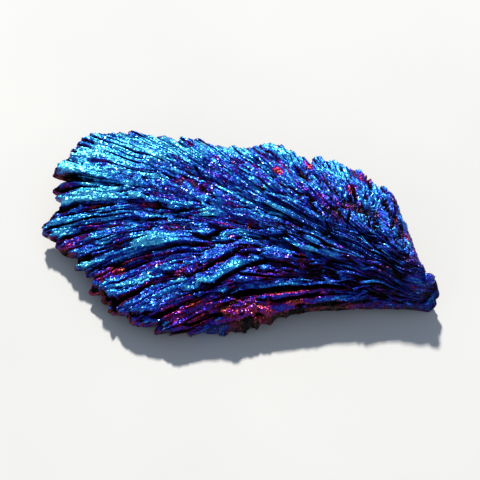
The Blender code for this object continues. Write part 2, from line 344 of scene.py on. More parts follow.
# --- The skin. Crystals are laid over each other on a grid of heights, and the highest one shows. ---

COLUMNS = 860
ROWS = 241  # along the flow on the upper side
UNDER_STEP = 3  # rows of the upper side to one row of the underside
PARTS = ("cluster_root", "cluster_inner", "cluster_outer", "cluster_rim")
PART_ROWS = (ROWS - 1) // len(PARTS)
WALL_SHARES = np.linspace(0, 1, 9)[1:-1, None]  # rows of points between the two skins
RIM_BULGE = 0.25  # how far the ends of the body bulge
ROOT_BULGE = 0.5
ROOT_WAY = (0.93, -0.36, 0.0)  # the way the end of the root faces
ROOT_DEEP = 5.0  # the root's height from which it bulges in full
KNOB = (27.9, -11.9, 6.9)  # the middle of the round crystal end at the root
KNOB_RADIUS = 0.95
SIDE_BULGE = 0.22  # how far the sides bulge, as a share of their height
LOBE_DROP = 0.3  # how round the ends of the rim blades are, as a share of their width
LOBE_HALF_WIDTH = 0.55  # as a share of the same
GAP_END = 1.02  # the u where the gaps in the rim end
CRUST = 2.0  # how much thicker the near edge is below
CRUST_FROM = 0.93
LEAST_DEPTH = 0.3  # of the body below a gap
FAR_RIM = 0.42  # the blades at the rim up to this t are split by a second gap
FAR_HEM = 0.45  # how much lower the far edge lies than the rest
STEEPER = 0.42  # how far the crystals of one place turn to the far edge, as a share of their length
STEEPER_AT = (18.0, -2.5, 10.0, 7.0, -35)
FLAKY = (15.0, -5.0, 17.0, 8.0, -25)  # where small crystals hide the long ones
ROOT_END = -0.008
ROOT_ROUND = 0.022  # how much sooner the root ends at its two corners, as a share of the ribs
LEAST_UNDERCUT = 0.56  # the t from which the boldest blades stand over gaps
SKEW = 0.2  # how far small crystals run out of line, as a share of their length
WARP = 0.6  # how far a crystal wanders sideways at most
# Layers of smooth noise: how strong, size of the lumps.
WARP_LAYERS = ((0.45, 4.0), (0.16, 1.3))
GRAIN_LAYERS = ((0.07, 0.5), (0.07, 0.25))
TINT_LAYERS = ((0.05, 1.6), (0.05, 0.5))
GRAIN = 0.022  # and the roughness from point to point
WIDE_SPACING = 0.1  # of the columns, from which the grains have their full height
CLOUD_REACH = 40.0  # of the noise, each way from the origin
FINEST = 0.4  # the size of the small crystals at the root, as a share of their size at the rim
SHARES = np.array([share for share, _, _ in STATIONS])
SWELLS = np.array((0.5, 0.88, 1.0, 0.9))  # the width of a crystal at STATIONS, as a share of its full width
RIDGE_PITCH = 0.42  # between the ridges of one blade
NUMBER_STEP = 7.3  # between the numbers of two crystals, so that their striae differ


def bundle(blade, pitch):
    """The ridges of one blade, as arrays: offsets at the middle, widths, shares of the blade where they start
    and end, and heights at STATIONS."""
    t, _, start, end, width, depth, lift, roll, slant, *_ = blade
    length = abs(end - start) * float(rib_length(t))
    count = max(3, round(width / pitch))
    side = (np.arange(count) + 0.5) / count * 2 - 1 + rng.uniform(-0.1, 0.1, count)
    stop = 1 - rng.uniform(0.0, 1.0, count) ** 2 * 1.6 / length + slant * side / length
    top = np.interp(side, (-1, -0.75, 0.7, 1), (0.1, 0.42, 0.48, 0.05)) * depth
    rises = np.array((-0.8 * depth, 0, 0.6 * lift, lift))
    off = side * width / 2
    jitter, widen, first = rng.uniform((-0.12, 1.2, 0), (0.06, 1.7, 0.15), (count, 3)).T
    heights = rises + (off * sin(roll))[:, None] + top[:, None] * SWELLS + jitter[:, None]
    return off * cos(roll), width / count * widen, first, stop, heights


class Relief:
    """Heights above one skin, over flow lines t and rows of u, with the tint and the number of what shows."""

    def __init__(self, skin, t, u):
        self.skin, self.t, self.u = skin, t, u
        lines = t[:, None]
        self.along, self.across, self.out = axes(lines, u, skin)
        self.metric = np.linalg.norm(beside(skin, lines, u, FINE_STEP), axis=-1) / (2 * FINE_STEP)
        self.place = skin(lines, u)
        self.warp = lumps(self.place, WARP_LAYERS)
        steps = rng.uniform(-0.35, -0.1, (len(t), 1))
        self.height = (steps + 0.2 * clouds(self.place, 1.0)) * smooth(u / 0.3)
        self.side = (t[0] - lines) * self.metric
        self.tint, self.number, self.bare, self.sunk = np.zeros((4, *u.shape))
        self.laid = 0

    def lay(self, t, end_t, off, width, start, end, heights, crown, tint, lean):
        """Lays one crystal from the flow line t to end_t, off mm aside. heights are those of its edges at
        STATIONS, and crown is how far its middle stands above them."""
        middle, rows = min(np.searchsorted(self.t, t), len(self.t) - 1), self.u.shape[1]
        line = self.u[middle]
        r0 = min(np.searchsorted(line, min(start, end) - 0.03), rows - 2)
        r1 = min(max(np.searchsorted(line, max(start, end) + 0.03), r0 + 2), rows)
        reach = (width / 2 + abs(off) + WARP) / self.metric[middle, r0:r1].min()
        c0 = np.searchsorted(self.t, min(t, end_t) - reach)
        c1 = np.searchsorted(self.t, max(t, end_t) + reach)
        if c1 <= c0:
            return
        window = np.s_[c0:c1, r0:r1]
        share = (self.u[window] - start) / (end - start)
        swell = np.interp(share, SHARES, SWELLS)
        aside = (mix(t, end_t, share) - self.t[c0:c1, None]) * self.metric[window]
        aside = aside + self.warp[window] - off * swell
        side = aside / (width / 2 * swell)
        top = np.interp(share, SHARES, heights) + crown * (1 - np.abs(side) ** 3)
        shows = (np.abs(side) < 1) & (share > 0) & (share < 1 + lean * side) & (top > self.height[window])
        self.laid += 1
        for grid, value in ((self.height, top), (self.tint, tint), (self.side, aside),
                            (self.number, self.laid * NUMBER_STEP)):
            grid[window] = np.where(shows, value, grid[window])

    def lay_blades(self, blades, tint=0.0):
        for blade in blades:
            t, end_t, start, end = blade[:4]
            shade = rng.normal(tint, 0.045)
            for off, width, first, stop, heights in zip(*bundle(blade, RIDGE_PITCH)):
                self.lay(mix(t, end_t, first), mix(t, end_t, stop), off, width, mix(start, end, first),
                         mix(start, end, stop), heights - 0.12, 0.13, shade + rng.normal(0, 0.035),
                         rng.uniform(-0.05, 0.05))

    def groove(self, t, start, end_t, end, width, depth, tint, off=0.0):
        """A deep gap off mm to the near side of a flow line, where the crystals broke away. Its lips get a
        thinner film and lose coverage: uncoated crystal and painted shade together.
        """
        share = (self.u - start) / (end - start)
        aside = (self.t[:, None] - t - (end_t - t) * share) * self.metric - self.warp - off
        reach = width * (0.45 + 0.55 * share)
        inside = smooth(share / 0.2) * smooth((1.05 - share) / 0.1)
        lips = inside * smooth(1.4 * (1.35 - np.abs(aside / reach)))
        self.height -= depth * inside * smooth(1.6 * (1 - np.abs(aside / reach)))
        self.tint += tint * lips
        self.bare += 0.6 * min(depth, 1.0) * lips

    def level(self, *place):
        """Evens out the steps between crystals in an ellipse."""
        share = 0.75 * ellipse(self.place, *place)
        self.height += share * (blur(self.height, 12, 8) - self.height)

    def lay_root(self, count):
        """Long fine crystals that run together into the rounded end of the root."""
        for t in rng.uniform(0, 1, count):
            end = rng.uniform(0.04, 0.36)
            start = max(end - rng.uniform(0.04, 0.14), 0.0)
            width = rng.uniform(0.14, 0.45)
            rise = rng.uniform(-0.6, 0.9) * width + np.array((-0.1, 0.0, 0.05, 0.1))
            here = self.at(t, mix(start, end, SHARES))
            self.lay(t, t + rng.normal(0, 0.03), 0.0, width, start, end, here + rise, 0.3 * width,
                     rng.normal(0, 0.07), rng.uniform(-0.2, 0.2))

    def round_root(self):
        """The crystals lie closer to the skin towards the root, and its end is rounded."""
        self.height *= 0.35 + 0.65 * smooth((self.u - ROOT_END) / 0.3)
        self.height *= 1 - 0.7 * smooth(1 - self.t[:, None] / 0.1) * smooth(1.6 - self.u / 0.4)
        self.sunk += (1 - smooth((self.u - self.u[:, :1]) / 0.06)) ** 2
        self.sunk += FAR_HEM * (1 - smooth(self.t[:, None] / 0.03))

    def thicken_edge(self):
        """The crust below the near edge."""
        crust = smooth((self.t[:, None] - CRUST_FROM) / (1 - CRUST_FROM))
        self.height += CRUST * crust * (0.2 * smooth(self.u / 0.3) + 0.8 * smooth((self.u - 0.55) / 0.25))

    def part_rim(self):
        """Gaps between the blades at the rim, with painted shade in them."""
        places = [blade[0] for blade in BLADES[:RIM_BLADES]]
        for t, following in zip(places, places[1:]):
            middle, deep = (t + following) / 2, rng.uniform(0.2, 1.0)
            start = rng.uniform(0.70, 0.86)
            self.groove(middle, start, middle, GAP_END, 0.16 + 0.2 * deep, 0.7 * deep, -0.2 * deep)
            if t < FAR_RIM:
                self.groove(t, rng.uniform(0.72, 0.86), t, GAP_END, 0.22, 0.8, -0.25)

    def lay_shingles(self, count, longest, widest, rise, where=None):
        """Small crystals over everything, or round one ellipse, each with its root end sunk and its free end
        a little proud."""
        t, end = scatter(self.skin, count, 0.03)
        if where:
            inside = ellipse(self.skin(t, end), *where) > rng.uniform(0, 1, len(t))
            t, end = t[inside], end[inside]
        coarse = coarseness(end, 0.1)
        start = np.maximum(end - rng.uniform(0.25, 1.0, len(t)) * longest * coarse / rib_length(t), 0.0)
        width = rng.uniform(0.45, 1.0, len(t)) * widest * coarse
        turn = rng.normal(0, SKEW, len(t)) - STEEPER * ellipse(self.skin(t, end), *STEEPER_AT)
        skew = turn * (end - start) * rib_length(t)
        for t, end, start, width, skew in zip(t, end, start, width, skew):
            if end - start < STEP:
                continue
            cell = self.cell(t, end)
            below, above = self.at(t, start), self.at(t, end)
            free = above + rng.uniform(-0.15, rise) * width
            heights = mix(below, free, SHARES) - 0.2 * (1 - SHARES)
            self.lay(t, t + skew / self.metric[cell], 0.0, width, start, end, heights, 0.2 * width,
                     self.tint[cell] + rng.normal(0, 0.05), rng.uniform(-0.2, 0.2))

    def cell(self, t, u):
        """The column and the row of places, as the next ones after them."""
        column = np.minimum(np.searchsorted(self.t, t), len(self.t) - 1)
        row = (self.u[column] < np.asarray(u)[..., None]).sum(axis=-1)
        return column, np.minimum(row, self.u.shape[1] - 1)

    def at(self, t, u):
        cell = self.cell(t, u)
        return self.height[cell] - self.sunk[cell]

    def roughen(self):
        """Grains over every facet, less where the columns run close together."""
        spacing = self.metric * np.gradient(self.t)[:, None]
        self.height += lumps(self.place, GRAIN_LAYERS) * np.clip(spacing / WIDE_SPACING, 0.5, 1)
        self.height += rng.normal(0, GRAIN, self.u.shape) * np.clip(spacing / WIDE_SPACING, 0.12, 1)
        self.tint += lumps(self.place, TINT_LAYERS)

    def points(self):
        return self.place + self.out * (self.height - self.sunk)[..., None]

    def settle(self):
        """Keeps the mean height round each place, near by and further off, once the relief is finished."""
        self.near_by, self.further = blur(self.height, 9, 5), blur(self.height, 26, 12)

    def look_up(self, grid, t, u):
        """Reads a grid of the relief at arrays of places."""
        c = np.clip(np.searchsorted(self.t, t), 0, len(self.t) - 1)
        share = (u - self.u[c, 0]) / (self.u[c, -1] - self.u[c, 0])
        return grid[c, np.clip(np.rint(share * (self.u.shape[1] - 1)).astype(int), 0, self.u.shape[1] - 1)]


# Deep gaps between the crystals, whose thinner film and lost coverage paint shade into them: t and u at the
# inner end, t and u at the outer end, half width, depth, film.
GROOVES = (
    (0.516, 0.81, 0.506, 1.01, 1.1, 1.5, -0.15),
    (0.535, 0.88, 0.552, 0.99, 0.4, 0.8, -0.1),
    (0.585, 0.74, 0.645, 0.95, 0.45, 0.9, -0.12),
    (0.802, 0.62, 0.788, 0.95, 0.75, 1.1, -0.18),
    (0.816, 0.66, 0.804, 0.92, 1.05, 1.0, -0.16),
    (0.215, 0.78, 0.212, 0.93, 0.5, 0.5, -0.06),
    (0.118, 0.64, 0.11, 0.76, 0.45, 0.5, -0.06),
    (0.075, 0.8, 0.068, 0.97, 0.45, 0.5, -0.06),
    (0.835, 0.34, 0.832, 0.39, 0.45, 0.5, -0.06),
    (0.312, 0.28, 0.312, 0.43, 0.3, 0.6, -0.06),
    (0.18, 0.3, 0.25, 0.44, 0.25, 0.5, -0.06),
    (0.617, 0.64, 0.604, 0.71, 0.35, 0.7, -0.18),
    (0.619, 0.53, 0.689, 0.61, 0.3, 0.6, -0.12),
    (0.415, 0.56, 0.355, 0.74, 0.25, 0.3, -0.12),
    (0.956, 0.17, 0.934, 0.69, 0.8, 1.4, -0.18),
    (0.912, 0.42, 0.888, 0.6, 0.35, 0.8, -0.12),
    (0.913, 0.76, 0.904, 0.94, 0.8, 1.3, -0.18),
    (0.856, 0.78, 0.849, 0.99, 0.6, 1.1, -0.15),
    (0.33, 0.08, 0.163, 0.46, 0.2, 0.4, -0.06),
    (0.7, 0.12, 0.31, 0.32, 0.2, 0.4, -0.06),
    (0.2, 0.1, 0.11, 0.5, 0.2, 0.4, -0.06),
    (0.45, 0.12, 0.22, 0.45, 0.22, 0.5, -0.06),
)
# Where the rim reaches further or less far than the solid's: t, half width in t, share of the rib.
RIM_CHANGES = (
    (0.05, 0.016, -0.085),
    (0.1, 0.014, 0.03),
    (0.155, 0.014, -0.035),
    (0.238, 0.01, -0.02),
    (0.264, 0.012, 0.022),
    (0.318, 0.014, -0.07),
    (0.345, 0.014, 0.018),
    (0.412, 0.012, 0.02),
    (0.49, 0.018, 0.022),
    (0.508, 0.008, -0.03),
    (0.543, 0.014, 0.018),
    (0.584, 0.024, -0.03),
    (0.643, 0.016, -0.018),
    (0.668, 0.012, -0.014),
    (0.704, 0.007, -0.014),
    (0.72, 0.011, -0.006),
    (0.762, 0.01, 0.016),
    (0.788, 0.01, 0.02),
    (0.812, 0.01, 0.016),
    (0.87, 0.014, -0.014),
    (0.922, 0.012, -0.03),
    (0.985, 0.03, 0.045),
)
# Where the crystals lie nearly flush: x, y, half length, half width, turn in degrees.
FLUSH = (
    (-18.0, 7.5, 11.0, 5.5, 20),
    (-2.0, 8.5, 12.0, 2.5, 3),
    (-6.0, 3.5, 7.0, 3.5, 10),
    (-13.0, -5.4, 5.0, 1.8, 8),
)


def ellipse(points, x, y, length, width, turn):
    """1 in the middle of an ellipse over x and y, falling to 0 at its edge."""
    turn = radians(turn)
    east, north = points[..., 0] - x, points[..., 1] - y
    along = (east * cos(turn) + north * sin(turn)) / length
    aside = (north * cos(turn) - east * sin(turn)) / width
    return smooth(1.5 * (1 - np.hypot(along, aside)))


def clouds(points, size):
    """Smooth noise from -1 to 1 over x and y, in lumps of this many millimetres."""
    lattice = rng.uniform(-1, 1, (int(2 * CLOUD_REACH / size) + 2,) * 2)
    x, y = (points[..., 0] + CLOUD_REACH) / size, (points[..., 1] + CLOUD_REACH) / size
    i, j = np.floor(x).astype(int), np.floor(y).astype(int)
    along, up = smooth(x - i), smooth(y - j)
    low, high = (lattice[i, k] * (1 - along) + lattice[i + 1, k] * along for k in (j, j + 1))
    return low * (1 - up) + high * up


def lumps(points, layers):
    """Layers of smooth noise over each other."""
    return sum(strength * clouds(points, size) for strength, size in layers)


def coarseness(u, fine_until):
    """How large small crystals that end at u are."""
    return FINEST + (1 - FINEST) * smooth((u - fine_until) / 0.7)


def blur(grid, columns, rows):
    """A box filter that reaches so many columns and rows each way."""
    for reach in (columns, rows):
        width = 2 * reach + 1
        total = np.cumsum(np.pad(grid, ((reach + 1, reach), (0, 0)), mode="edge"), axis=0)
        grid = ((total[width:] - total[:-width]) / width).T
    return grid


def scatter(skin, count, low):
    """Places (t, u), spread evenly over the skin's area."""
    t, u = rng.uniform(0, 1, count * 6), rng.uniform(low, 1, count * 6)
    along = skin(t, u + FINE_STEP) - skin(t, u - FINE_STEP)
    area = np.linalg.norm(np.cross(along, beside(skin, t, u, FINE_STEP)), axis=-1)
    keep = rng.uniform(0, np.quantile(area, 0.97), len(t)) < area
    return t[keep][:count], u[keep][:count]


def teeth(run, pitch):
    """Uneven teeth from -1 to 1 along a line, a pitch apart."""
    count = int(run[-1] / pitch) + 2
    return np.interp(run / pitch, np.arange(count), rng.uniform(-1, 1, count))


def rim_reach(t):
    """How far the rim reaches at each t: the rounded ends of the rim blades side by side, and their teeth."""
    reach = BODY_REACH * (1 - notch(t))
    for at, _, _, end, width, *_ in BLADES[:RIM_BLADES]:
        metric = np.linalg.norm(beside(flow, at, 1.0, STEP)) / (2 * STEP)
        side = (at - t) * metric / (width * LOBE_HALF_WIDTH)
        lobe = end - LOBE_DROP * width * side * side / rib_length(at)
        reach = np.where(np.abs(side) < 1, np.maximum(reach, lobe), reach)
    run = run_along(flow(t, 1.0))
    reach += (0.35 * teeth(run, 0.9) + 0.16 * teeth(run, 0.4)) / rib_length(t)
    for at, half, change in RIM_CHANGES:
        reach += change * smooth(1.5 * (1 - abs(t - at) / half))
    return blur(reach[:, None], 2, 0)[:, 0]


# --- Needles: prisms swept along the flow. A set of them is one table of arrays. ---

SIDES = 6
SIDE_ANGLES = np.linspace(0, 2 * pi, SIDES, endpoint=False) + pi / 12
NEEDLE_SHARES = np.linspace(0, 1, 9)
EDGE_PITCH = 0.62  # between the needles of a blade at the rim
BEAD_RINGS, BEAD_SIDES = 9, 14
BEAD_ROUGH = 0.06


class Mesh:
    """Points, faces and attributes of one piece, collected part by part."""

    def __init__(self):
        self.points, self.film, self.cover, self.grain, self.faces = [], [], [], [], []
        self.count = 0

    def add(self, points, film, cover, grain=0.0):
        """Takes points in any layout and their attributes, or one value for all. Returns their numbers."""
        numbers = self.count + np.arange(points[..., 0].size).reshape(points.shape[:-1])
        film, cover = np.clip(film, 0, 1), np.clip(cover, 0, 1)
        for kept, values, like in ((self.points, points, points), (self.film, film, numbers),
                                   (self.cover, cover, numbers), (self.grain, grain, points)):
            kept.append(np.broadcast_to(values, like.shape).ravel())
        self.count += numbers.size
        return numbers

    def face(self, numbers, turned=False):
        """Takes faces as rows of point numbers."""
        rows = numbers.reshape(-1, numbers.shape[-1])
        self.faces.append(rows[:, ::-1] if turned else rows)

    def sheet(self, numbers, turned=False):
        """Quads over grids of point numbers."""
        self.face(np.stack([numbers[..., :-1, :-1], numbers[..., :-1, 1:], numbers[..., 1:, 1:],
                            numbers[..., 1:, :-1]], axis=-1), turned)

    def tube(self, rings):
        """Quads round tubes, from the point numbers of their rings."""
        self.sheet(np.concatenate([rings, rings[..., :1]], axis=-1).swapaxes(-1, -2))

    def fan(self, middle, line, turned=False):
        """Triangles from one point to the steps of a line, or from many points to their lines."""
        middle = np.broadcast_to(middle, line[..., 1:].shape)
        self.face(np.stack([middle, line[..., :-1], line[..., 1:]], axis=-1), turned)


def needles(mesh, relief, t, u, off, lift, width, depth, roll, taper, film, sunk=0.0):
    """Adds prisms. t, width, depth, roll and taper are (n, 1). u, off, lift and film are (n, stations), where
    off is the distance across the flow and lift the height above the skin. The coating is as if they lay
    higher by as much as they are sunk."""
    along, across, out = axes(t, u, relief.skin)
    tilt = roll[..., None]
    side_way = across * np.cos(tilt) + out * np.sin(tilt)
    up_way = out * np.cos(tilt) - across * np.sin(tilt)
    middle = relief.skin(t, u) + across * off[..., None] + out * lift[..., None]
    swell = np.interp(NEEDLE_SHARES, (0, 0.25, 0.85, 1), (0.55, 1, 1, 1)) * rng.uniform(0.82, 1.15, u.shape)
    swell[:, -1:] *= taper
    facets = rng.uniform(0.75, 1.2, (len(t), 1, SIDES)) * rng.uniform(0.93, 1.07, (*u.shape, SIDES))
    side = np.cos(SIDE_ANGLES) * facets * (width / 2)[..., None] * swell[..., None]
    up = np.sin(SIDE_ANGLES) * facets * (depth / 2)[..., None] * swell[..., None]
    lean = np.zeros(side.shape)
    lean[:, -1] = rng.uniform(-0.7, 0.7, t.shape) * side[:, -1] + rng.uniform(-0.7, 0.7, t.shape) * up[:, -1]
    points = (middle[:, :, None] + side_way[:, :, None] * side[..., None]
              + up_way[:, :, None] * up[..., None] + along[:, :, None] * lean[..., None])
    run = NEEDLE_SHARES * (u[:, -1:] - u[:, :1]) * rib_length(t)
    grain = np.broadcast_arrays(side + up, run[..., None], rng.uniform(0, 100, t.shape)[..., None])
    regional, cover = region(points)
    films = film_at(film[..., None] + regional, cover, lift[..., None] + up + sunk, relief, t[..., None],
                    u[..., None])
    rings = mesh.add(points, *films, np.stack(grain, axis=-1))
    mesh.tube(rings)
    mesh.fan(rings[:, 0, :1], rings[:, 0, 1:])
    mesh.fan(rings[:, -1, :1], rings[:, -1, 1:], True)


def bead(mesh, middle, radius):
    """A round lump with a pole on each end of X."""
    tilt = np.linspace(0, pi, BEAD_RINGS)[:, None]
    turn = np.linspace(0, 2 * pi, BEAD_SIDES, endpoint=False)
    size = radius * (1 + BEAD_ROUGH * rng.normal(0, 1, (BEAD_RINGS, BEAD_SIDES)))
    way = (np.cos(tilt) + 0 * turn, np.sin(tilt) * np.cos(turn), np.sin(tilt) * np.sin(turn))
    points = np.array(middle) + np.stack(way, axis=-1) * size[..., None]
    rings, poles = (mesh.add(part, FILM_BASE, 0.9) for part in (points[1:-1], points[[0, -1], 0]))
    mesh.tube(rings)
    for pole, ring, turned in ((poles[0], rings[0], False), (poles[1], rings[-1], True)):
        mesh.fan(pole, np.append(ring, ring[0]), turned)


def lay_needles(mesh, relief, count, longest, widest, rise, base):
    """Needles over a finished relief."""
    t, end = (places[:, None] for places in scatter(relief.skin, count, 0.04))
    end = np.minimum(end, 0.985 - notch(t) + rng.uniform(-0.015, 0.01, t.shape))
    coarse = coarseness(end, 0.15)
    start = np.maximum(end - rng.uniform(0.3, 1.0, t.shape) * longest * coarse / rib_length(t), 0.0)
    share = NEEDLE_SHARES
    width = coarse * rng.uniform(0.3, 1.0, t.shape) * widest
    depth = width * rng.uniform(0.6, 1.0, t.shape)
    below = relief.at(t, start) - 0.4 * depth - 0.1
    above = relief.at(t, end) + depth * rng.uniform(-0.35, rise, t.shape)
    off = rng.uniform(-0.15, 0.15, t.shape) * share + rng.uniform(-0.04, 0.04, (len(t), len(share)))
    tint = relief.tint[relief.cell(t, end)] + rng.normal(0, 0.06, t.shape)
    needles(mesh, relief, t, mix(start, end, share), off, below * (1 - share) + above * share, width, depth,
            rng.normal(0, 0.3, t.shape), rng.uniform(0.45, 0.95, t.shape), base + tint + 0.08 * (share - 0.5))


def edge_bundles(mesh, relief, blades, base):
    """The blades at the rim as bundles of needles, which break off unevenly below the skin's edge."""
    for blade in blades:
        t, _, start, end, width, depth, _, roll, *_ = blade
        off, _, first, stop, heights = bundle(blade, EDGE_PITCH)
        off, first, count = off[:, None], first[:, None], len(off)
        column = (count, 1)
        for layer in (0, 1):
            last = stop - rng.uniform(0, 0.1, count) * (layer + 0.3) - 0.05
            local = mix(first, last[:, None], NEEDLE_SHARES)
            aside = off * np.interp(local, SHARES, SWELLS)
            at = t - aside[:, -1:] / relief.metric[relief.cell(t, 1.0)]
            limit = np.interp(at, relief.t, relief.u[:, -1]) + rng.uniform(-0.03, 0.004, column)
            u = mix(start, end, local)
            u = u[:, :1] + (u - u[:, :1]) * np.clip((limit - u[:, :1]) / (u[:, -1:] - u[:, :1]), 0.1, 1)
            lift = np.array([np.interp(row, SHARES, rises) for row, rises in zip(local, heights)])
            thick = depth * rng.uniform(0.4, 0.6, column)
            lift = lift - 0.04 - thick * 0.45 - 0.5 * depth * layer
            lift = np.minimum(lift, relief.look_up(relief.height, at, u) - 0.6 * thick)
            film = base + rng.normal(0, 0.05, column) - 0.12 * layer + 0 * u
            needles(mesh, relief, np.full(column, t), u, aside * (1 + 0.1 * layer), lift,
                    width / count * rng.uniform(1.1, 1.5, column), thick,
                    roll + rng.normal(0, 0.2, column), rng.uniform(0.5, 0.9, column), film,
                    0.3 * depth + 0.5 * depth * layer)


# --- The coating's thickness, from 0 (uncoated) to 1 (thickest), and the light and shade painted into it. ---

FILM_BASE = 0.56
FILM_UNDER = 0.34  # on the underside
# Coverage of the coating before the heights change it; the heights lower it in hollows and gaps, which paints
# shade there.
COVER_AND_SHADE_BASE = 0.6
# How the film follows the height over what is near by and further off, thinner and darker in hollows as
# painted shade and thicker on what stands proud as painted light: for each mm, least, most.
NEAR_BY = (0.6, -0.38, 0.12)
FURTHER = (0.3, -0.26, 0.14)
# Layers of small crystals, and then of loose needles: how many, longest, widest, how proud, where.
COARSE = (900, 5.0, 1.4, 0.35)
FINE = ((1900, 2.4, 0.55, 0.25), (2400, 1.1, 0.36, 0.5), (3600, 1.8, 0.45, 0.4, FLAKY))
UNDER_LAYERS = ((500, 6.0, 1.6, 0.4), (1000, 3.0, 0.8, 0.4))
LOOSE, UNDER_LOOSE = (500, 4.0, 0.6, 0.2), (300, 6.0, 0.8, 0.3)
ROOT_CRYSTALS = 800
BOLD_TINT = 0.07  # how much thicker the film is on the boldest blades
# The gap's thinner film and lost coverage are painted shade under the bold blade.
UNDERCUT = (0.9, 1.4, -0.25)  # half width, depth, film of the gap beside a bold blade
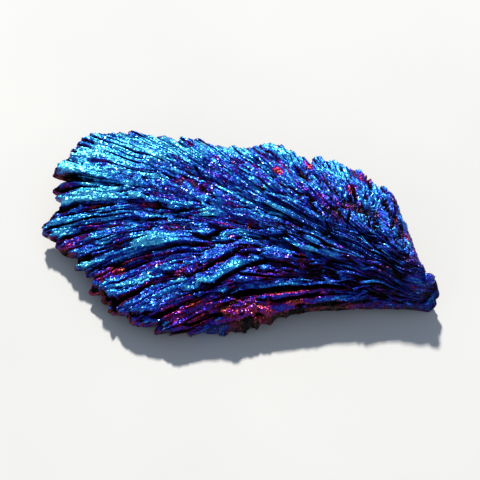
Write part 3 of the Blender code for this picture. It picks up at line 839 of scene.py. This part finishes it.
# Places where the coating differs, and where light and shade are painted into it: x, y, half length, half
# width, turn of the length in degrees, film, coverage. Besides the coating's own colours they hold painted
# highlights, as on the bright plateau and the bright tongue, and painted shade, as over the shoulder, the
# root, the near edge and under the tongue.
PATCHES = (
    # Partly painted highlight, a lighter film and more coverage:
    (-18.5, 7.0, 12.0, 6.0, 20, 0.26, 0.36),  # the bright plateau of the wing's tip
    (-22.0, 2.8, 6.5, 1.4, 5, 0.08, 0.16),
    (-3.0, 9.0, 13.0, 3.6, 3, 0.18, 0.28),  # the far rim
    (13.0, 6.0, 9.0, 3.0, -22, 0.14, 0.22),
    (0.0, 0.0, 15.0, 4.5, 0, 0.11, 0.34),
    (-19.3, 10.0, 3.8, 1.7, 15, 0.12, 0.2),
    (-23.4, 9.6, 3.2, 2.0, 40, 0.2, 0.8),
    (-17.0, 2.6, 3.5, 0.9, 5, 0.16, 0.3),
    (-20.0, -1.2, 4.5, 1.0, 3, 0.02, 0.5),
    (-25.6, 3.5, 2.2, 0.9, 0, -0.12, 0.7),
    (-14.0, 0.4, 2.4, 0.9, 5, 0.0, 0.4),
    (6.1, -2.2, 2.0, 1.2, 0, 0.12, 0.3),
    (-4.6, 9.8, 1.5, 1.5, 0, -0.15, -0.1),
    (-3.6, -9.9, 3.5, 1.0, 15, -0.3, -0.8),
    (18.5, -12.6, 5.5, 1.2, 0, -0.18, -0.6),
    (4.0, -11.6, 5.0, 1.0, 5, -0.18, -0.45),
    (7.5, -13.3, 6.5, 0.9, 7, -0.16, -0.5),
    (16.8, -2.0, 3.0, 2.2, -30, -0.12, -0.25),
    (-10.6, 4.5, 3.2, 1.5, 15, 0.2, 0.35),
    (-8.4, 0.2, 2.6, 1.0, 5, 0.14, 0.3),
    (-3.2, -2.2, 4.5, 1.2, 0, 0.1, 0.55),
    (1.0, -9.6, 3.6, 1.0, 12, 0.22, 0.9),
    (-26.0, -2.2, 2.4, 1.4, 0, 0.28, 0.4),
    (7.0, 7.0, 3.0, 1.7, -45, 0.3, 0.45),
    (4.5, 9.2, 1.6, 1.2, -50, 0.2, 0.25),
    (-4.9, 2.1, 2.8, 1.3, 10, -0.28, -0.3),
    (-2.3, -4.7, 2.3, 0.9, 5, -0.28, -0.6),
    (-23.0, -4.9, 2.5, 0.9, 0, -0.18, -0.15),
    (16.7, 4.9, 2.2, 1.6, -40, -0.14, -0.05),
    (-24.5, -1.5, 6.0, 3.5, 0, -0.08, 0.0),
    (-16.0, -0.8, 8.0, 1.6, 5, -0.08, 0.0),
    # Partly painted highlight:
    (-13.0, -5.6, 5.2, 1.8, 8, 0.24, 0.5),  # the bright tongue
    (-23.5, 10.6, 5.5, 3.2, 40, 0.2, 0.35),
    # Painted shade over the shoulder and the root, which face away from the light:
    (12.0, -3.0, 12.0, 6.0, -25, -0.06, -0.24),  # the dark shoulder towards the root
    (22.0, -4.0, 6.5, 7.0, 0, -0.04, -0.3),
    (24.5, -11.5, 10.0, 4.0, -10, -0.07, -0.44),
    (28.2, -12.6, 3.2, 3.5, 0, 0.08, 0.25),
    # Painted shade over the near edge, which faces away from the light:
    (9.0, -10.6, 15.0, 2.6, -5, -0.12, -0.22),  # the violet band over the near edge's cave
    (8.5, -13.5, 9.0, 1.1, 7, -0.3, -0.5),
    (-1.0, -8.0, 8.0, 2.8, 5, -0.12, -0.12),
    (-14.0, -12.0, 12.0, 5.5, 20, -0.19, -0.1),
    (-15.4, -11.6, 5.2, 0.8, 8, 0.26, 0.3),  # the azure blades of the lower left
    (-9.8, -13.1, 6.0, 1.3, 20, 0.16, 0.4),
    (-6.0, -12.8, 3.2, 1.1, 18, 0.14, 1.0),
    (-12.2, -10.5, 3.0, 1.0, 8, 0.22, 0.7),
    (-4.3, -11.2, 2.2, 0.8, 15, -0.25, -0.3),
    (-13.5, -8.4, 7.0, 1.3, 3, -0.08, -1.3),  # the shade under the tongue
    (-2.0, -13.0, 9.0, 2.2, 12, -0.06, -0.08),
    (-19.0, -6.8, 5.5, 1.8, 5, -0.15, -0.06),
    (-19.3, -9.7, 3.3, 1.4, 10, -0.44, 0.05),  # magenta and red under the left tip
    (-12.7, -9.5, 2.8, 0.6, 6, -0.28, 0.15),
    (-16.3, -13.6, 3.0, 0.8, 30, -0.26, -0.3),
    (-7.5, -16.0, 8.0, 2.0, 8, -0.37, -0.22),
    (-8.0, -17.9, 5.0, 1.3, 8, -0.22, -0.05),
    (1.5, -15.9, 8.0, 1.9, 4, -0.36, -0.06),  # the near edge's crust
    (10.4, -14.8, 6.0, 1.2, 3, -0.34, -0.14),
    (16.0, -14.3, 5.0, 0.8, 2, -0.34, -0.24),
    (5.6, 4.3, 1.6, 1.0, -40, -0.52, 0.3),  # recesses of red and magenta
    (3.2, 7.4, 2.4, 0.7, -55, -0.34, 0.2),
    (16.6, 1.4, 1.0, 1.4, 0, -0.44, 0.2),
    (18.9, 4.4, 1.9, 1.5, -40, -0.54, 0.3),
    (10.2, 5.6, 2.2, 0.5, -60, -0.44, 0.1),
    (9.0, -9.0, 0.9, 0.8, 0, -0.46, 0.4),
    (-0.9, -5.8, 1.4, 0.5, 5, -0.38, 0.0),
    (1.5, -3.9, 0.7, 0.5, 0, -0.36, 0.0),
    (24.9, -5.5, 0.6, 0.9, 0, -0.3, 0.1),
    (-7.9, 9.6, 1.8, 0.9, -30, -0.42, 0.2),
    (-14.7, 8.0, 1.8, 0.6, -15, -0.34, 0.1),
    (-10.0, 7.2, 1.6, 0.5, -20, -0.34, 0.1),
    (-4.1, 7.2, 1.8, 0.7, -40, -0.34, 0.1),
    (-17.6, -4.6, 2.4, 0.7, 8, -0.26, 0.1),
    (-25.4, 4.4, 2.2, 0.6, 0, -0.36, 0.2),
    (-21.0, 7.3, 2.2, 0.7, -20, -0.36, 0.1),
    (-26.6, 0.6, 1.0, 0.5, 0, -0.28, 0.2),
    (-14.4, 0.7, 3.0, 0.6, 8, -0.24, 0.1),
    (-10.8, -1.0, 1.4, 0.4, 0, -0.34, 0.0),
    (-25.7, -4.8, 1.4, 1.0, 0, -0.4, 0.1),  # bare amber facets under the tip
)


def region(points):
    """The coating's changes from place to place, film and coverage, with the light and shade painted into
    them.
    """
    film, cover = np.zeros(points.shape[:-1]), np.zeros(points.shape[:-1])
    for *place, thicker, covered in PATCHES:
        share = ellipse(points, *place)
        film += thicker * share
        cover += covered * share
    return film, cover


def film_at(film, cover, height, relief, t, u):
    """The film and the coverage at places of this height above the skin. The coating is thicker and lighter
    on what stands above its surroundings, and thinner, darker and less covering in the hollows, down to the
    near-black
    uncoated crystal in the gaps: partly where the coating really is thinner or missing, partly painted shade
    in the hollows and gaps and painted light on what stands proud."""
    near_by = height - relief.look_up(relief.near_by, t, u)
    further = height - relief.look_up(relief.further, t, u)
    thick = film + np.clip(NEAR_BY[0] * near_by, *NEAR_BY[1:]) + np.clip(FURTHER[0] * further, *FURTHER[1:])
    return thick, smooth(COVER_AND_SHADE_BASE + cover + near_by / 0.4 + further / 0.9)


def skin_film(relief, base, part):
    """Film and coverage on this part of a relief, with the painted light and shade of its heights and gaps.
    """
    film, cover = region(relief.place[part])
    film, cover = base + film + relief.tint[part], cover - relief.bare[part]
    return film_at(film, cover, relief.height[part], relief, relief.t[:, None], relief.u[part])


def fine_rows(points):
    """The points of the underside at every row of the upper side."""
    row = np.arange(ROWS) / UNDER_STEP
    i = np.minimum(row.astype(int), points.shape[-2] - 2)
    share = (row - i)[:, None]
    return points[..., i, :] * (1 - share) + points[..., i + 1, :] * share


def keep_apart(upper, under):
    """Lifts the upper side where a gap in it would come too near to the underside."""
    deep = ((upper.points() - fine_rows(under.points())) * upper.out).sum(axis=-1)
    upper.height += np.maximum(LEAST_DEPTH - deep, 0.0)


def side_walls(upper, under):
    """The rows of points that close the far and the near side of the body, between its two skins."""
    walls = []
    for column, way in ((0, SIDE_BULGE), (-1, -SIDE_BULGE)):
        top, bottom = upper.points()[column], fine_rows(under.points()[column])
        deep = np.linalg.norm(top - bottom, axis=-1, keepdims=True)
        walls.append(wall(top, bottom, way * deep * upper.across[column]))
    return walls


def wall(first, second, bulge):
    """Rows of points between two edges of the skin, which bulge outwards in rough lumps."""
    share = WALL_SHARES[..., None]
    points = first * (1 - share) + second * share
    rough = 1 + 0.9 * clouds(points[..., [0, 2]], 0.9)[..., None]
    return points + bulge * np.sin(pi * share) * rough + rng.normal(0, 0.04, points.shape)


def wall_coating(points, film, cover):
    """Film and coverage of the rows of a wall, from those of its upper edge, thinner and darker towards the
    lower edge.
    """
    film, cover = (blur(line[:, None], 8, 0)[:, 0] for line in (film, cover))
    patches, grains = clouds(points[..., [0, 2]], 0.8), rng.normal(0, 1, points.shape[:-1])
    return (film - 0.04 * WALL_SHARES + 0.14 * patches + 0.11 * grains,
            np.maximum(cover, 0.75) * (1 - 0.35 * WALL_SHARES) + 0.2 * patches + 0.15 * grains)


def skin_part(mesh, upper, under, r0, r1, walls):
    """One closed part of the body: the rows r0 to r1 of the upper side and the underside below them."""
    skins = []
    for relief, base, step in ((upper, FILM_BASE, 1), (under, FILM_UNDER, UNDER_STEP)):
        part = np.s_[:, r0 // step:r1 // step + 1]
        coating = skin_film(relief, base, part)
        run = relief.u * rib_length(relief.t)[:, None]
        grain = np.stack([relief.side, run, relief.number], axis=-1)[part]
        points = relief.points()[part]
        numbers = mesh.add(points, *coating, grain)
        mesh.sheet(numbers, step != 1)
        skins.append((numbers, points, *coating))
    (top, top_points, film, cover), (bottom, bottom_points, *_) = skins
    sides = []
    for column, points in zip((0, -1), walls):
        part = points[:, r0:r1 + 1]
        numbers = mesh.add(part, *wall_coating(part, film[column], cover[column]))
        sides.append(numbers)
        mesh.sheet(np.stack([top[column], *numbers]), column == 0)
        steps = np.arange(0, r1 - r0, UNDER_STEP)
        fine = [numbers[-1][steps + k] for k in range(UNDER_STEP + 1)]
        mesh.face(np.stack(fine + [bottom[column][1:], bottom[column][:-1]], axis=-1), column == 0)
    for row, outer in ((0, r0 == 0), (-1, r1 == ROWS - 1)):
        first, second, turned = top[:, row], bottom[:, row], row != 0
        if not outer:
            mesh.sheet(np.stack([first[1:-1], second[1:-1]]), turned)
            for way, side in zip((1, -1), sides):
                corner = [first[::way][:2], second[::way][1::-1], side[::-1, row]]
                mesh.face(np.concatenate(corner), turned == (way == 1))
            continue
        high, low = top_points[:, row], bottom_points[:, row]
        bulge = RIM_BULGE * upper.along[:, -1]
        if row == 0:
            bulge = ROOT_BULGE * np.clip((high - low)[:, 2:] / ROOT_DEEP, 0, 1) * np.array(ROOT_WAY)
        between = wall(high, low, bulge)[:, 1:-1]
        numbers = mesh.add(between, *wall_coating(between, film[1:-1, row], cover[1:-1, row]))
        middle = np.concatenate([sides[0][:, row, None], numbers, sides[1][:, row, None]], axis=1)
        mesh.sheet(np.stack([first, *middle, second]), turned)


# --- Blender objects and materials. ---


def make_piece(name, mesh, material):
    points = (np.concatenate(mesh.points).reshape(-1, 3) + SHIFT) * MM
    points[:, 2] = np.clip(points[:, 2], 0.0, (TOP + SHIFT[2]) * MM)
    data = bpy.data.meshes.new(name)
    faces = [face for rows in mesh.faces for face in rows.tolist()]
    data.from_pydata(points.tolist(), [], faces, shade_flat=False)
    for label, kind, field, values in (("film", "FLOAT", "value", mesh.film),
                                       ("cover", "FLOAT", "value", mesh.cover),
                                       ("grain", "FLOAT_VECTOR", "vector", mesh.grain)):
        attribute = data.attributes.new(label, kind, "POINT")
        attribute.data.foreach_set(field, np.concatenate(values).astype(np.float32))
    data.validate()
    data.materials.append(material)
    piece = bpy.data.objects.new(name, data)
    bpy.context.scene.collection.objects.link(piece)
    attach(piece, BODY)
    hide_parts(NODE)


def srgb(r, g, b):
    """An sRGB colour in 0 to 255 as linear values."""
    c = np.array((r, g, b)) / 255
    return (*np.where(c <= 0.04045, c / 12.92, ((c + 0.055) / 1.055) ** 2.4), 1.0)


FILM_COLOURS = (  # film thickness, colour of the coating there
    (0.00, srgb(12, 7, 8)),
    (0.12, srgb(46, 16, 14)),
    (0.20, srgb(150, 52, 22)),
    (0.28, srgb(165, 25, 66)),
    (0.36, srgb(118, 20, 130)),
    (0.46, srgb(44, 16, 145)),
    (0.56, srgb(16, 34, 165)),
    (0.68, srgb(26, 76, 190)),
    (0.80, srgb(44, 130, 224)),
    (0.92, srgb(54, 172, 240)),
    (1.00, srgb(100, 218, 252)),
)
# The near-black uncoated crystal, also the colour of the painted shade in hollows and gaps.
BARE_AND_SHADE = srgb(9, 7, 12)
STRIAE = (9.0, 0.55, 3.1)  # how fine across and along a crystal, per mm, and from crystal to crystal
GRAINS = 4800.0  # of the coating, per metre
MOTTLE = 900.0  # clouds in its thickness, per metre
BY_STRIAE, BY_GRAIN, BY_MOTTLE = 0.20, 0.22, 0.36  # how much the film's thickness varies with each
GLITTER = 1.0  # how far the grains' normals spread
STEEP = 2.2  # and those of the few steepest grains
STEEP_FROM = 0.84


class Nodes:
    """Short ways to add and link shader nodes."""

    def __init__(self, name):
        self.material = bpy.data.materials.new(name)
        self.material.use_nodes = True
        self.tree = self.material.node_tree

    def feed(self, node, inputs):
        """Sets a node's inputs to values, or links them to sockets."""
        for key, value in inputs.items():
            if isinstance(value, bpy.types.NodeSocket):
                self.tree.links.new(value, node.inputs[key])
            else:
                node.inputs[key].default_value = value

    def shade(self, inputs):
        self.feed(self.tree.nodes["Principled BSDF"], inputs)
        return self.material

    def node(self, kind, inputs, **settings):
        made = self.tree.nodes.new("ShaderNode" + kind)
        for key, value in settings.items():
            setattr(made, key, value)
        self.feed(made, inputs)
        return made

    def math(self, operation, a, b):
        return self.node("Math", {0: a, 1: b}, operation=operation).outputs[0]

    def vector(self, operation, inputs):
        return self.node("VectorMath", inputs, operation=operation).outputs[0]

    def noise(self, place, scale, detail):
        return self.node("TexNoise", {"Vector": place, "Scale": scale, "Detail": detail}).outputs["Fac"]

    def attribute(self, name, output="Fac"):
        return self.node("Attribute", {}, attribute_name=name).outputs[output]

    def ramp(self, share, stops):
        """A colour that changes with a share, from stops of position and colour."""
        made = self.node("ValToRGB", {"Fac": share})
        elements = made.color_ramp.elements
        elements[0].position, elements[0].color = stops[0]
        elements[1].position, elements[1].color = stops[-1]
        for position, colour in stops[1:-1]:
            elements.new(position).color = colour
        return made.outputs["Color"]


def coated_crystal():
    n = Nodes("coated_tourmaline")
    cover = n.attribute("cover")
    place = n.node("TexCoord", {}).outputs["Object"]
    # Striae run along the crystal: fine across it, long along it.
    striae = n.noise(n.vector("MULTIPLY", {0: n.attribute("grain", "Vector"), 1: STRIAE}), 1.0, 3.0)
    grains = n.node("TexVoronoi", {"Vector": place, "Scale": GRAINS}, feature="F1").outputs["Color"]
    thinner, glossy, steep = n.node("SeparateColor", {0: grains}).outputs
    thick = n.attribute("film")
    mottle = n.noise(place, MOTTLE, 4.0)
    for texture, reach in ((striae, BY_STRIAE), (thinner, BY_GRAIN), (mottle, BY_MOTTLE)):
        thick = n.math("ADD", thick, n.math("MULTIPLY", n.math("SUBTRACT", texture, 0.5), reach))
    # Where the coverage is low the near-black uncoated crystal shows, which is also the painted shade of the
    # hollows and gaps.
    colours = {0: cover, 6: BARE_AND_SHADE, 7: n.ramp(thick, FILM_COLOURS)}
    # Every grain of the coating faces its own way, so each one glints by itself.
    spread = n.vector("SUBTRACT", {0: grains, 1: (0.5, 0.5, 0.5)})
    tilt = n.math("MULTIPLY", n.math("GREATER_THAN", steep, STEEP_FROM), STEEP - GLITTER)
    spread = n.vector("SCALE", {0: spread, "Scale": n.math("ADD", tilt, GLITTER)})
    facing = n.vector("ADD", {0: spread, 1: n.node("NewGeometry", {}).outputs["Normal"]})
    facing = n.vector("NORMALIZE", {0: facing})
    bump = n.node("Bump", {"Height": striae, "Distance": 0.00006, "Strength": 0.6, "Normal": facing})
    return n.shade({
        "Base Color": n.node("Mix", colours, data_type="RGBA").outputs[2],
        "Metallic": 0.9,
        "Roughness": n.math("ADD", 0.22, n.math("MULTIPLY", striae, 0.2)),
        "Normal": bump.outputs["Normal"],
        "Coat Weight": n.math("MULTIPLY", n.math("POWER", glossy, 3.0), cover),
        "Coat Roughness": 0.2,
        "Coat Normal": facing,
    })


def floor_material():
    n = Nodes("pale_floor")
    cloud = n.noise(n.node("TexCoord", {}).outputs["Object"], 18.0, 3.0)
    return n.shade({"Base Color": n.ramp(cloud, FLOOR_COLOURS), "Roughness": 0.8})


# --- The studio. ---

FLOOR_COLOURS = ((0.3, srgb(187, 187, 186)), (0.7, srgb(193, 192, 190)))
LIGHTS = (  # name, place and size in metres, power, colour
    ("key_light", (-0.21, 1.56, 1.62), 0.15, 98.0, (1.0, 0.965, 0.90)),
    ("fill_light", (0.3, -0.5, 0.7), 0.7, 0.4, (0.92, 0.96, 1.0)),
)
SKY = (0.65, 0.79, 1.0, 1.0)
SKY_STRENGTH = 0.45
CAMERA_ELEVATION = 60.0
CAMERA_DISTANCE = 300.0
PIXELS_PER_MM = 6.5
FRAME_PIXELS = 480
SENSOR = 36.0
FORM_ORIGIN_ABOVE_CENTRE = 7 / PIXELS_PER_MM  # how far above the middle of the view the form's origin shows


def stand(data, place, back):
    """Adds a camera or a light at a place in metres, with its back to the given way."""
    made = bpy.data.objects.new(data.name, data)
    made.location = place
    made.rotation_mode = "QUATERNION"
    made.rotation_quaternion = Vector(back).to_track_quat("Z", "Y")
    bpy.context.scene.collection.objects.link(made)
    return made


def make_camera():
    e = radians(CAMERA_ELEVATION)
    back, up = np.array((0, -cos(e), sin(e))), np.array((0, sin(e), cos(e)))
    data = bpy.data.cameras.new("camera")
    data.sensor_width = SENSOR
    data.lens = PIXELS_PER_MM * CAMERA_DISTANCE * SENSOR / FRAME_PIXELS
    data.clip_start, data.clip_end = 0.01, 10.0
    aim = SHIFT - up * FORM_ORIGIN_ABOVE_CENTRE
    bpy.context.scene.camera = stand(data, (aim + back * CAMERA_DISTANCE) * MM, back)


def make_studio():
    bpy.ops.mesh.primitive_circle_add(vertices=64, radius=1.2, fill_type="NGON")
    floor = bpy.context.object
    floor.name = "floor"
    floor.data.materials.append(floor_material())
    for name, place, size, power, colour in LIGHTS:
        data = bpy.data.lights.new(name, "AREA")
        data.size, data.energy, data.color = size, power, colour
        stand(data, place, place)
    world = bpy.data.worlds.new("studio")
    bpy.context.scene.world = world
    world.use_nodes = True
    background = world.node_tree.nodes["Background"]
    background.inputs["Color"].default_value = SKY
    background.inputs["Strength"].default_value = SKY_STRENGTH
    bpy.context.scene.view_settings.view_transform = "Standard"


def each(work, rows):
    for row in rows:
        work(*row)


def make_reliefs():
    """The finished upper side and underside."""
    t = rim_spread(COLUMNS)
    reach = rim_reach(t)[:, None]
    root_end = ROOT_END + ROOT_ROUND * np.abs(2 * t[:, None] - 1) ** 3
    u = root_end + (reach - root_end) * np.linspace(0, 1, ROWS)
    upper, under = Relief(flow, t, u), Relief(underside, t, u[:, ::UNDER_STEP])
    bold, others = BLADES[BOLD_START:BOLD_END], BLADES[:RIM_BLADES] + BLADES[BOLD_END:]
    upper.lay_blades([blade for blade in others if blade[-1] is flow])
    upper.lay_shingles(*COARSE)
    for t, end_t, start, end, width, *_ in bold:
        if t > LEAST_UNDERCUT:
            upper.groove(t, start, end_t, end, *UNDERCUT, width / 2)
    upper.lay_blades(bold, BOLD_TINT)
    each(upper.level, FLUSH)
    each(upper.groove, GROOVES)
    each(upper.lay_shingles, FINE)
    upper.part_rim()
    each(upper.groove, GROOVES)
    upper.lay_root(ROOT_CRYSTALS)
    upper.round_root()
    under.lay_blades([blade for blade in others if blade[-1] is underside])
    each(under.lay_shingles, UNDER_LAYERS)
    under.thicken_edge()
    for relief in (upper, under):
        relief.roughen()
    keep_apart(upper, under)
    for relief in (upper, under):
        relief.settle()
    return upper, under


def main():
    make_camera()
    make_studio()
    crystal = coated_crystal()
    upper, under = make_reliefs()
    walls = side_walls(upper, under)
    meshes = {name: Mesh() for name in PARTS + ("cluster_edge_needles", "cluster_needles")}
    for i, name in enumerate(PARTS):
        skin_part(meshes[name], upper, under, i * PART_ROWS, (i + 1) * PART_ROWS, walls)
    edge_bundles(meshes["cluster_edge_needles"], upper, BLADES[:RIM_BLADES], FILM_BASE)
    bead(meshes["cluster_root"], KNOB, KNOB_RADIUS)
    lay_needles(meshes["cluster_needles"], upper, *LOOSE, FILM_BASE)
    lay_needles(meshes["cluster_needles"], under, *UNDER_LOOSE, FILM_UNDER)
    for name, mesh in meshes.items():
        make_piece(name, mesh, crystal)


main()
